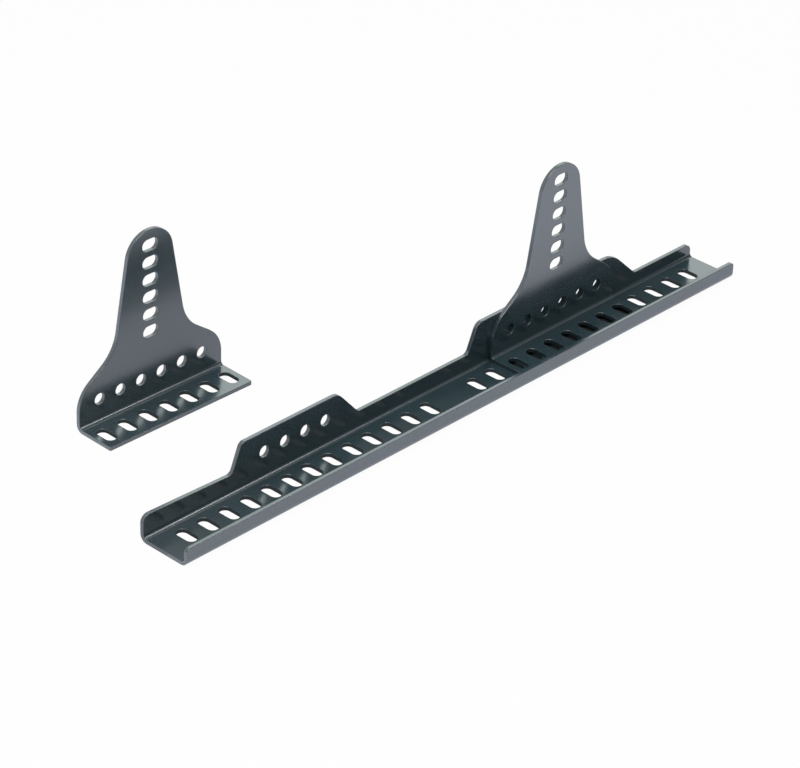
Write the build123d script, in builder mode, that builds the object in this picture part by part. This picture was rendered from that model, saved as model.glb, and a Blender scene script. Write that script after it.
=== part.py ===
from build123d import *
from math import atan2, pi, tan
import os

# Side mount of folded steel sheet: a slotted channel rail and two angle brackets.
# X runs along the rail, +Y towards the rail's tall flange, +Z up.
# The origin is the middle of the rail's underside.

# Sheet and bolts
sheet = 3.0
bend_inside = 3.0
bend_outside = bend_inside + sheet
bend_band = bend_outside + 1.5
bolt_hole_dia = 9.2

# Rail channel
rail_length = 578.0
rail_width = 46.2
lip_height = 14.6
lip_corner = 3.0
web_slot_pitch = 20.0
web_slot_length = 18.0
web_slot_width = 9.2
web_slot_y = 2.8
web_slot_margin = 15.0
group_break = 2.5 * web_slot_pitch
web_slots_per_group = int((rail_length / 2 - group_break / 2 - web_slot_margin) / web_slot_pitch) + 1
group_middle_x = group_break / 2 + (web_slots_per_group - 1) / 2 * web_slot_pitch

# Rail flange, lowest at the rear end
flange_height_end = 20.7
flange_height_left = 17.5
flange_height_middle = 16.7
flange_height_right = 14.0
flange_end_corner = 6.0

# Two raised tabs of the flange: the rear one slopes down wide and round
tab_height = 39.6
tab_foot_fillet = 5.0
front_tab_foot_left = -205.9
front_tab_top_left = -197.1
front_tab_corner_left = 5.0
front_tab_top_right = -102.3
front_tab_corner_right = 11.0
front_tab_foot_right = -81.7
rear_tab_foot_left = 33.3
rear_tab_top_left = 42.8
rear_tab_corner_left = 7.5
rear_tab_top_right = 194.3
rear_tab_corner_right = 25.0
rear_tab_foot_right = 221.5
tab_hole_height = 23.3
tab_hole_pitch = 20.0
tab_holes = 4
side_bolt_spacing = 290.0

# Bracket, the same for both
bracket_length = 136.1
bracket_hole_pitch = 19.55
foot_depth = 36.3
foot_corner = 1.0
foot_slot_length = 17.5
foot_slot_width = 9.2
foot_slot_setback = 21.4
foot_slots = 7
base_hole_height = 20.5
base_holes = 6
shoulder_height = 27.9
shoulder_radius = 26.0
waist_half_width = 33.1
waist_height = 53.3
waist_radius = 34.7
top_half_width = 18.1
bracket_height = 140.0
upright_slot_length = 14.5
upright_slot_width = 9.5
upright_slot_pitch = 14.06
upright_slots = 6
top_slot_setback = 12.3
slot_column_height = bracket_height - top_slot_setback - (upright_slots - 1) / 2 * upright_slot_pitch

# Bracket's round top: as wide as fits between the sloping sides
side_slope = atan2(bracket_height - waist_height, waist_half_width - top_half_width)
top_roundness = 0.995
top_radius = top_roundness * top_half_width * tan((pi - side_slope) / 2)

# Where the brackets stand
rear_bracket_x = 123.9
rear_bracket_clearance = 0.2
front_bracket_x = -159.0
front_bracket_y = 156.3
front_bracket_turn = -1.2

# Rail: web with both bends
half_width = rail_width / 2
with BuildPart() as rail:
    with BuildSketch(Plane.YZ) as channel_profile:
        Rectangle(rail_width, bend_band, align=(Align.CENTER, Align.MIN))
        fillet(channel_profile.vertices().group_by(Axis.Y)[0], bend_outside)
        with Locations((0, sheet)):
            Rectangle(
                rail_width - 2 * sheet, bend_band,
                align=(Align.CENTER, Align.MIN), mode=Mode.SUBTRACT,
            )
        inner_corners = channel_profile.vertices().filter_by_position(
            Axis.X, -half_width + sheet - 0.01, half_width - sheet + 0.01
        )
        fillet(inner_corners.filter_by_position(Axis.Y, sheet - 0.01, sheet + 0.01), bend_inside)
    extrude(amount=rail_length / 2, both=True)

    # Low front lip
    with BuildSketch(Plane.XZ.offset(half_width - sheet)) as lip_outline:
        with Locations((0, bend_band)):
            Rectangle(rail_length, lip_height - bend_band, align=(Align.CENTER, Align.MIN))
        fillet(lip_outline.vertices().group_by(Axis.Y)[-1], lip_corner)
    extrude(amount=sheet)

    # Flange with the two raised tabs, corner by corner with its radius
    flange_corners = (
        (-rail_length / 2, flange_height_end, flange_end_corner),
        (front_tab_foot_left, flange_height_left, tab_foot_fillet),
        (front_tab_top_left, tab_height, front_tab_corner_left),
        (front_tab_top_right, tab_height, front_tab_corner_right),
        (front_tab_foot_right, flange_height_middle, tab_foot_fillet),
        (rear_tab_foot_left, flange_height_middle, tab_foot_fillet),
        (rear_tab_top_left, tab_height, rear_tab_corner_left),
        (rear_tab_top_right, tab_height, rear_tab_corner_right),
        (rear_tab_foot_right, flange_height_right, tab_foot_fillet),
        (rail_length / 2, flange_height_right, flange_end_corner),
    )
    with BuildSketch(Plane.XZ.offset(-half_width)) as flange_outline:
        with BuildLine():
            Polyline(
                (-rail_length / 2, bend_band),
                *((x, z) for x, z, radius in flange_corners),
                (rail_length / 2, bend_band),
                close=True,
            )
        make_face()
        for x, z, radius in flange_corners:
            fillet(flange_outline.vertices().sort_by_distance((x, z))[0], radius)
    extrude(amount=sheet)

    # Web slots in two groups
    with BuildSketch(Plane.XY):
        with Locations((-group_middle_x, web_slot_y), (group_middle_x, web_slot_y)):
            with GridLocations(web_slot_pitch, 1, web_slots_per_group, 1):
                SlotOverall(web_slot_length, web_slot_width, rotation=90)
    extrude(amount=sheet, mode=Mode.SUBTRACT)

    # Round holes in the tabs
    with BuildSketch(Plane.XZ.offset(-half_width)):
        with GridLocations(side_bolt_spacing, 1, 2, 1):
            with Locations((0, tab_hole_height)):
                with GridLocations(tab_hole_pitch, 1, tab_holes, 1):
                    Circle(bolt_hole_dia / 2)
    extrude(amount=sheet, mode=Mode.SUBTRACT)

# Bracket, drawn with its back face on the XZ plane and its foot on the XY plane
with BuildPart() as bracket:
    with BuildSketch(Plane.YZ) as foot_profile:
        Rectangle(foot_depth, bend_band, align=(Align.MAX, Align.MIN))
        fillet(foot_profile.vertices().group_by(Axis.Y)[0].sort_by(Axis.X)[-1], bend_outside)
        with Locations((-sheet, sheet)):
            Rectangle(
                foot_depth, bend_band, align=(Align.MAX, Align.MIN), mode=Mode.SUBTRACT
            )
        inner_corner = foot_profile.vertices().filter_by_position(
            Axis.X, -sheet - 0.01, -sheet + 0.01
        )
        fillet(inner_corner.sort_by(Axis.Y)[0], bend_inside)
    extrude(amount=bracket_length / 2, both=True)
    fillet(bracket.edges().filter_by(Axis.Z).group_by(Axis.Y)[0], foot_corner)

    # Upright outline
    with BuildSketch(Plane.XZ) as upright_outline:
        with BuildLine():
            Polyline(
                (-bracket_length / 2, bend_band),
                (-bracket_length / 2, shoulder_height),
                (-waist_half_width, waist_height),
                (-top_half_width, bracket_height),
                (top_half_width, bracket_height),
                (waist_half_width, waist_height),
                (bracket_length / 2, shoulder_height),
                (bracket_length / 2, bend_band),
                close=True,
            )
        make_face()
        fillet(upright_outline.vertices().group_by(Axis.Y)[3], top_radius)
        fillet(upright_outline.vertices().group_by(Axis.Y)[2], waist_radius)
        fillet(upright_outline.vertices().group_by(Axis.Y)[1], shoulder_radius)
    extrude(amount=sheet)

    # Bolt slots in the foot
    with BuildSketch(Plane.XY):
        with Locations((0, -foot_slot_setback)):
            with GridLocations(bracket_hole_pitch, 1, foot_slots, 1):
                SlotOverall(foot_slot_length, foot_slot_width, rotation=90)
    extrude(amount=sheet, mode=Mode.SUBTRACT)

    # Round holes along the base and the column of bolt slots above them
    with BuildSketch(Plane.XZ):
        with Locations((0, base_hole_height)):
            with GridLocations(bracket_hole_pitch, 1, base_holes, 1):
                Circle(bolt_hole_dia / 2)
        with Locations((0, slot_column_height)):
            with GridLocations(1, upright_slot_pitch, 1, upright_slots):
                SlotOverall(upright_slot_length, upright_slot_width)
    extrude(amount=sheet, mode=Mode.SUBTRACT)

# Bracket standing in the channel
with BuildPart() as rear_bracket:
    with Locations((rear_bracket_x, half_width - sheet - rear_bracket_clearance, sheet)):
        add(bracket.part)

# Bracket standing loose behind the rail
with BuildPart() as front_bracket:
    with Locations(Location((front_bracket_x, front_bracket_y, 0), (0, 0, front_bracket_turn))):
        add(bracket.part)

os.makedirs("parts", exist_ok=True)
rail.part.label = "rail"
export_step(rail.part, "parts/rail.step")
rear_bracket.part.label = "rear_bracket"
export_step(rear_bracket.part, "parts/rear_bracket.step")
front_bracket.part.label = "front_bracket"
export_step(front_bracket.part, "parts/front_bracket.step")
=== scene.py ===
import math

import bpy
from mathutils import Matrix, Vector


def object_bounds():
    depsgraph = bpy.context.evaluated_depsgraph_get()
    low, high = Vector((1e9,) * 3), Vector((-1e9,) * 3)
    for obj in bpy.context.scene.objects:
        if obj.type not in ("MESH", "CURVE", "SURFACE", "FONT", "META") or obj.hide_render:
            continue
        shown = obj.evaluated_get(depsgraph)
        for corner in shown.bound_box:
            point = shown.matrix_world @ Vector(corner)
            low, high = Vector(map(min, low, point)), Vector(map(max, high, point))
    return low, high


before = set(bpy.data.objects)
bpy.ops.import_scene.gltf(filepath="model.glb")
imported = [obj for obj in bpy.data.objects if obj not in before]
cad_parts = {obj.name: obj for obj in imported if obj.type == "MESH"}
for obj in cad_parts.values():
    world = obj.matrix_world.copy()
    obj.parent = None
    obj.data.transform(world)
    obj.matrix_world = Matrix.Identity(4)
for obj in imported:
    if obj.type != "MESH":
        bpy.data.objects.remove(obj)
cad_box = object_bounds()

# Image size that the camera's numbers refer to
IMAGE_WIDTH = 800

# Camera: where it stands, which way it looks and how long its lens is
CAMERA_PLACE = Vector((-1.593897, -1.424261, 1.298272))
CAMERA_AZIMUTH = 0.822247
CAMERA_DOWN = 0.541521
CAMERA_ROLL = 0.033634
FOCAL_PIXELS = 3439.892
SENSOR_WIDTH = 36.0
CLIP_NEAR = 0.05
CLIP_FAR = 50


def add_camera():
    """The photograph's own view, from the left, the front and above."""
    across = math.cos(CAMERA_DOWN)
    forward = Vector((
        math.sin(CAMERA_AZIMUTH) * across,
        math.cos(CAMERA_AZIMUTH) * across,
        -math.sin(CAMERA_DOWN),
    ))
    level_right = Vector((math.cos(CAMERA_AZIMUTH), -math.sin(CAMERA_AZIMUTH), 0))
    level_up = level_right.cross(forward)
    right = level_right * math.cos(CAMERA_ROLL) + level_up * math.sin(CAMERA_ROLL)
    up = level_up * math.cos(CAMERA_ROLL) - level_right * math.sin(CAMERA_ROLL)
    data = bpy.data.cameras.new("camera")
    data.sensor_fit = "HORIZONTAL"
    data.sensor_width = SENSOR_WIDTH
    data.lens = FOCAL_PIXELS / IMAGE_WIDTH * SENSOR_WIDTH
    data.clip_start = CLIP_NEAR
    data.clip_end = CLIP_FAR
    camera = bpy.data.objects.new("camera", data)
    camera.matrix_world = Matrix((
        (right.x, up.x, -forward.x, CAMERA_PLACE.x),
        (right.y, up.y, -forward.y, CAMERA_PLACE.y),
        (right.z, up.z, -forward.z, CAMERA_PLACE.z),
        (0, 0, 0, 1),
    ))
    bpy.context.scene.collection.objects.link(camera)
    bpy.context.scene.camera = camera


class Nodes:
    """Short calls for building a node tree."""

    def __init__(self, tree):
        self.tree = tree
        tree.nodes.clear()

    def add(self, kind, **settings):
        node = self.tree.nodes.new(kind)
        for name, value in settings.items():
            setattr(node, name, value)
        return node

    def join(self, output, socket):
        self.tree.links.new(output, socket)

    def math(self, operation, first, second=None, clamp=False):
        node = self.add("ShaderNodeMath", operation=operation, use_clamp=clamp)
        for socket, value in zip(node.inputs, (first, second)):
            if isinstance(value, (int, float)):
                socket.default_value = value
            elif value is not None:
                self.join(value, socket)
        return node.outputs[0]

    def noise(self, place, scale, detail, roughness):
        node = self.add("ShaderNodeTexNoise")
        node.inputs["Scale"].default_value = scale
        node.inputs["Detail"].default_value = detail
        node.inputs["Roughness"].default_value = roughness
        self.join(place, node.inputs["Vector"])
        return node.outputs["Fac"]

    def spread(self, value, low, high, new_low=0.0, new_high=1.0):
        node = self.add("ShaderNodeMapRange")
        for name, number in (
            ("From Min", low),
            ("From Max", high),
            ("To Min", new_low),
            ("To Max", new_high),
        ):
            node.inputs[name].default_value = number
        self.join(value, node.inputs["Value"])
        return node.outputs["Result"]

    def blend(self, share, first, second):
        node = self.add("ShaderNodeMix", data_type="RGBA")
        self.join(share, node.inputs["Factor"])
        for socket, value in ((node.inputs["A"], first), (node.inputs["B"], second)):
            if isinstance(value, tuple):
                socket.default_value = (*value, 1.0)
            else:
                self.join(value, socket)
        return node.outputs["Result"]


def new_material(name):
    material = bpy.data.materials.new(name)
    material.use_nodes = True
    return material, Nodes(material.node_tree)


# Detail and roughness of the two kinds of noise
FINE_NOISE = (4.0, 0.6)
SOFT_NOISE = (2.0, 0.5)

# Paint: glossy dark blue-green grey, a little cloudy
PAINT_DARK = (0.021, 0.042, 0.051)
PAINT_LIGHT = (0.027, 0.052, 0.063)
PAINT_IOR = 2.2
CLOUD_SCALE = 22
CLOUD_LIMITS = (0.3, 0.7)

# Smudges that vary how sharp the gloss is
SMUDGE_SCALE = 45
SMUDGE_LIMITS = (0.3, 0.7)
SMUDGE_ROUGHNESS = (0.17, 0.21)

# Worn edges: the edge mask rises as a rounded normal turns from the face's own
EDGE_RADIUS = 0.0008
EDGE_SAMPLES = 6
EDGE_TURN = (1.0, 0.80)
WEAR_SCALE = 160
WEAR_LIMITS = (0.35, 0.65)
WEAR_SHARE = 0.6
WEAR_COLOR = (0.110, 0.135, 0.135)

# Fine ripple of a sprayed coat
RIPPLE_SCALE = 900
RIPPLE_DEPTH = 0.0004
RIPPLE_STRENGTH = 0.03


def paint_material():
    material, n = new_material("paint")
    place = n.add("ShaderNodeTexCoord").outputs["Object"]

    # Wear on the edges
    rounded = n.add("ShaderNodeBevel", samples=EDGE_SAMPLES)
    rounded.inputs["Radius"].default_value = EDGE_RADIUS
    own = n.add("ShaderNodeNewGeometry").outputs["Normal"]
    turn = n.add("ShaderNodeVectorMath", operation="DOT_PRODUCT")
    n.join(rounded.outputs["Normal"], turn.inputs[0])
    n.join(own, turn.inputs[1])
    edge = n.spread(turn.outputs["Value"], *EDGE_TURN)
    patchy = n.spread(n.noise(place, WEAR_SCALE, *FINE_NOISE), *WEAR_LIMITS)
    wear = n.math("MULTIPLY", edge, patchy, clamp=True)

    # Colour
    cloud = n.spread(n.noise(place, CLOUD_SCALE, *SOFT_NOISE), *CLOUD_LIMITS)
    tone = n.blend(cloud, PAINT_DARK, PAINT_LIGHT)
    color = n.blend(n.math("MULTIPLY", wear, WEAR_SHARE), tone, WEAR_COLOR)

    # Gloss
    smudge = n.noise(place, SMUDGE_SCALE, *FINE_NOISE)
    roughness = n.spread(smudge, *SMUDGE_LIMITS, *SMUDGE_ROUGHNESS)

    # Ripple, on top of the rounded edges
    bump = n.add("ShaderNodeBump")
    bump.inputs["Strength"].default_value = RIPPLE_STRENGTH
    bump.inputs["Distance"].default_value = RIPPLE_DEPTH
    n.join(n.noise(place, RIPPLE_SCALE, *SOFT_NOISE), bump.inputs["Height"])
    n.join(rounded.outputs["Normal"], bump.inputs["Normal"])

    shader = n.add("ShaderNodeBsdfPrincipled")
    shader.inputs["IOR"].default_value = PAINT_IOR
    n.join(color, shader.inputs["Base Color"])
    n.join(roughness, shader.inputs["Roughness"])
    n.join(bump.outputs["Normal"], shader.inputs["Normal"])
    output = n.add("ShaderNodeOutputMaterial")
    n.join(shader.outputs["BSDF"], output.inputs["Surface"])
    return material


def white_share(n, for_camera, for_gloss):
    """Share of plain white: for the camera, for a gloss or glass, and 0 for other light."""
    path = n.add("ShaderNodeLightPath").outputs
    mirrored = n.math("MAXIMUM", path["Is Glossy Ray"], path["Is Transmission Ray"])
    seen = n.math("MULTIPLY", path["Is Camera Ray"], for_camera)
    return n.math("MAXIMUM", seen, n.math("MULTIPLY", mirrored, for_gloss))


def add_panel(name, corners, material):
    """A flat four-cornered panel of scenery."""
    mesh = bpy.data.meshes.new(name)
    mesh.from_pydata(corners, [], [(0, 1, 2, 3)])
    mesh.materials.append(material)
    panel = bpy.data.objects.new(name, mesh)
    bpy.context.scene.collection.objects.link(panel)
    return panel


WHITE = (1.0, 1.0, 1.0)

# Floor: pale, and white where the camera or a gloss looks at it
FLOOR_COLOR = (0.80, 0.80, 0.80)
FLOOR_HALF_SIZE = 15.0
FLOOR_FOR_CAMERA = 0.96
FLOOR_FOR_GLOSS = 0.85

# A gloss sees the floor in a bluish white, a painted blue sheen, and dimmer between the pieces
# than away from them, a painted shade
PAINTED_SHEEN_WHITE = (1.06, 1.11, 1.25)
PAINTED_SHADE_MIDDLE_Y = 0.08
PAINTED_SHADE_NEAR = 0.03
PAINTED_SHADE_FAR = 0.18
GLOSS_NEAR = 0.66
GLOSS_FAR = 1.00

# The rail's stretches in X: it fills the frame's box, and the seated bracket stands on part of it
RAIL_END = cad_box[1][0]
FOOT_START = 0.056
FOOT_END = 0.197
END_INSET = 0.001
WHOLE_RAIL = (-RAIL_END, RAIL_END)
RAIL_FRONT = (-RAIL_END + END_INSET, FOOT_START)
SEATED_FOOT = (FOOT_START, FOOT_END)
RAIL_REAR = (FOOT_END, RAIL_END - END_INSET)

# Floor under the rail's web and behind its flange, where painted shade lies, in Y
UNDER_WEB = (-0.017, 0.017)
BEHIND_FLANGE = (0.0235, 0.044)

# Floor beyond the rail's left end, which its end faces mirror: a part in Y for the lip's end,
# with painted light, and a part for the flange's, with painted shade
BEYOND_NEAR = 0.0005
BEYOND_FAR = 0.036
BEYOND_LEFT_END = (-RAIL_END - BEYOND_FAR, -RAIL_END - BEYOND_NEAR)
FOR_LIP_END = (-0.024, -0.002)
FOR_FLANGE_END = (-0.002, 0.046)

# Floor under the loose bracket's foot, with painted shade, and beside it, with painted light,
# each as its range in X and in Y
UNDER_LOOSE_FOOT = ((-0.226, -0.092), (0.121, 0.149))
BESIDE_LOOSE_FOOT = ((-0.340, -0.227), (0.118, 0.280))

# Patches just above the floor that change what the metal mirrors: painted shade under, behind and
# beside the pieces, and painted light beyond the lip's end and beside the loose foot. Each has
# its range in X, range in Y, matte colour, and share of white for the camera and for a gloss
PATCH_LIFT = 0.00005
SHADE_COLOR = (0.16, 0.16, 0.16)
DEEP_SHADE_COLOR = (0.03, 0.03, 0.03)
SHADE_FOR_CAMERA = 0.99
FLOOR_PATCHES = (
    ("painted shade under rail front", RAIL_FRONT, UNDER_WEB, SHADE_COLOR, 1.0, 0.0),
    ("painted shade under rail rear", RAIL_REAR, UNDER_WEB, SHADE_COLOR, 1.0, 0.0),
    ("floor under loose foot", *UNDER_LOOSE_FOOT, SHADE_COLOR, 1.0, 0.0),
    ("painted shadow behind rail", WHOLE_RAIL, BEHIND_FLANGE, SHADE_COLOR, SHADE_FOR_CAMERA, 0.05),
    ("painted shade at left end", BEYOND_LEFT_END, FOR_FLANGE_END, SHADE_COLOR, SHADE_FOR_CAMERA, 0.70),
    ("painted light at lip end", BEYOND_LEFT_END, FOR_LIP_END, FLOOR_COLOR, FLOOR_FOR_CAMERA, 1.0),
    ("floor beside loose foot", *BESIDE_LOOSE_FOOT, FLOOR_COLOR, FLOOR_FOR_CAMERA, 0.95),
    # Painted deep shade, which the camera sees through the seated foot's slots
    ("painted deep shade under seated foot", SEATED_FOOT, UNDER_WEB, DEEP_SHADE_COLOR, 0.0, 0.0),
)


def floor_material(n, color, for_camera, for_gloss, strength=None):
    """A matte floor with a white share, whose strength may be a node output."""
    matte = n.add("ShaderNodeBsdfDiffuse")
    matte.inputs["Color"].default_value = (*color, 1)
    white = n.add("ShaderNodeEmission")
    mirrored = n.add("ShaderNodeLightPath").outputs["Is Glossy Ray"]
    # Painted blue sheen: a gloss sees the white in a bluish tint
    n.join(n.blend(mirrored, WHITE, PAINTED_SHEEN_WHITE), white.inputs["Color"])
    if strength:
        n.join(strength, white.inputs["Strength"])
    mix = n.add("ShaderNodeMixShader")
    n.join(white_share(n, for_camera, for_gloss), mix.inputs["Fac"])
    n.join(matte.outputs[0], mix.inputs[1])
    n.join(white.outputs[0], mix.inputs[2])
    output = n.add("ShaderNodeOutputMaterial")
    n.join(mix.outputs[0], output.inputs["Surface"])


def level_corners(x_range, y_range, z):
    (x0, x1), (y0, y1) = x_range, y_range
    return [(x0, y0, z), (x1, y0, z), (x1, y1, z), (x0, y1, z)]


def add_floor():
    material, n = new_material("floor")
    place = n.add("ShaderNodeSeparateXYZ")
    n.join(n.add("ShaderNodeNewGeometry").outputs["Position"], place.inputs[0])
    # Painted shade: a gloss sees the floor's white dimmer near the pieces' middle line than away
    # from it
    away = n.math("ABSOLUTE", n.math("SUBTRACT", place.outputs["Y"], PAINTED_SHADE_MIDDLE_Y))
    in_gloss = n.spread(away, PAINTED_SHADE_NEAR, PAINTED_SHADE_FAR, GLOSS_NEAR, GLOSS_FAR)
    direct = n.add("ShaderNodeLightPath").outputs["Is Camera Ray"]
    strength = n.math("MAXIMUM", direct, in_gloss)
    floor_material(n, FLOOR_COLOR, FLOOR_FOR_CAMERA, FLOOR_FOR_GLOSS, strength)
    whole = (-FLOOR_HALF_SIZE, FLOOR_HALF_SIZE)
    add_panel("floor", level_corners(whole, whole, 0), material)
    for name, x_range, y_range, color, for_camera, for_gloss in FLOOR_PATCHES:
        material, n = new_material(name)
        floor_material(n, color, for_camera, for_gloss)
        add_panel(name, level_corners(x_range, y_range, PATCH_LIFT), material)


# Dark flags inside the flange's sheet, which only a gloss sees: painted dark reflections with a
# painted glow, in line with its inner face above its low parts, and across the holes of the rear
# tab. Each has its range in X, its Y, its range in Z, and its painted glow at the left and at the
# right end
FLAG_Y = 0.0202
HOLE_FLAG_Y = 0.0230
ABOVE_FLANGE = (0.010, 0.043)
HOLE_ROW = (0.0185, 0.0281)
FLAGS = (
    ("flag front", (-RAIL_END, -0.203), FLAG_Y, ABOVE_FLANGE, 0.40, 0.14),
    ("flag middle", (-0.100, FOOT_START), FLAG_Y, ABOVE_FLANGE, 0.16, 0.03),
    ("flag rear", (0.184, RAIL_END), FLAG_Y, ABOVE_FLANGE, 0.02, 0.02),
    ("flag in holes", (0.107, 0.183), HOLE_FLAG_Y, HOLE_ROW, 0.02, 0.02),
)


def painted_reflection_material(name, start, end):
    """A painted dim glow, though no lamp, that changes evenly from one end of the flag to the
    other.
    """
    material, n = new_material(name)
    along = n.add("ShaderNodeSeparateXYZ")
    n.join(n.add("ShaderNodeTexCoord").outputs["Generated"], along.inputs[0])
    glow = n.add("ShaderNodeEmission")
    n.join(n.spread(along.outputs["X"], 0.0, 1.0, start, end), glow.inputs["Strength"])
    output = n.add("ShaderNodeOutputMaterial")
    n.join(glow.outputs[0], output.inputs["Surface"])
    return material


def add_flags():
    for name, (x0, x1), y, (z0, z1), start, end in FLAGS:
        corners = [(x0, y, z0), (x1, y, z0), (x1, y, z1), (x0, y, z1)]
        flag = add_panel(name, corners, painted_reflection_material(name, start, end))
        # Only a gloss sees the flags: they are painted dark reflections
        flag.visible_camera = False
        flag.visible_diffuse = False
        flag.visible_transmission = False
        flag.visible_shadow = False


# World: even pale room light, and a white surround where the camera or a gloss looks at it,
# which a gloss sees dimmed on the camera's side
WORLD_STRENGTH = 0.36
FRONT_IN_GLOSS = 0.19
BACK_IN_GLOSS = 1.0
FRONT_EDGE = -0.25
BACK_EDGE = 0.25


def set_world():
    world = bpy.data.worlds.new("room")
    world.use_nodes = True
    bpy.context.scene.world = world
    n = Nodes(world.node_tree)
    direction = n.add("ShaderNodeSeparateXYZ")
    n.join(n.add("ShaderNodeTexCoord").outputs["Generated"], direction.inputs[0])
    in_gloss = n.spread(
        direction.outputs["Y"], FRONT_EDGE, BACK_EDGE, FRONT_IN_GLOSS, BACK_IN_GLOSS
    )
    room = n.add("ShaderNodeBackground")
    room.inputs["Strength"].default_value = WORLD_STRENGTH
    white = n.add("ShaderNodeBackground")
    direct = n.add("ShaderNodeLightPath").outputs["Is Camera Ray"]
    n.join(n.math("MAXIMUM", direct, in_gloss), white.inputs["Strength"])
    mix = n.add("ShaderNodeMixShader")
    n.join(white_share(n, 1.0, 1.0), mix.inputs["Fac"])
    n.join(room.outputs[0], mix.inputs[1])
    n.join(white.outputs[0], mix.inputs[2])
    output = n.add("ShaderNodeOutputWorld")
    n.join(mix.outputs[0], output.inputs["Surface"])


# Soft lamps that face the object: place, size, brightness and colour
SOFTBOXES = (
    ("back_softbox", (1.75, 1.56, 1.35), (2.4, 1.3), 0.95, (0.86, 1.0, 0.97)),
    ("top_softbox", (-0.35, -0.15, 1.75), (1.4, 1.4), 4.2, WHITE),
)

# Small lamps in front of the rail that only a gloss sees: the bright lines in the inside
# bends and the paler left end of the web. Each has its place, size, tilt and brightness
STRIPS = (
    ("strip left", (0.30, -0.345, 0.69), (0.20, 0.16), 0.48, 6.5),
    ("strip middle", (0.49, -0.345, 0.69), (0.18, 0.16), 0.48, 1.5),
    ("strip end", (0.25, -0.56, 0.51), (0.13, 0.12), 0.82, 1.8),
)


def add_lamp(name, place, size, radiance, color, turn):
    """A rectangular lamp of the given brightness."""
    data = bpy.data.lights.new(name, "AREA")
    data.shape = "RECTANGLE"
    data.size, data.size_y = size
    data.energy = radiance * math.pi * size[0] * size[1]
    data.color = color
    lamp = bpy.data.objects.new(name, data)
    lamp.location = place
    lamp.rotation_euler = turn
    bpy.context.scene.collection.objects.link(lamp)
    return lamp


def add_lamps():
    for name, place, size, radiance, color in SOFTBOXES:
        towards_object = (-Vector(place)).to_track_quat("-Z", "Y").to_euler()
        add_lamp(name, place, size, radiance, color, towards_object)
    for name, place, size, tilt, radiance in STRIPS:
        strip = add_lamp(name, place, size, radiance, WHITE, (tilt, 0, 0))
        strip.visible_diffuse = False


add_camera()
paint = paint_material()
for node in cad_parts.values():
    for slot in node.material_slots:
        slot.material = paint
add_floor()
add_flags()
set_world()
add_lamps()

bpy.context.scene.view_settings.view_transform = "Standard"
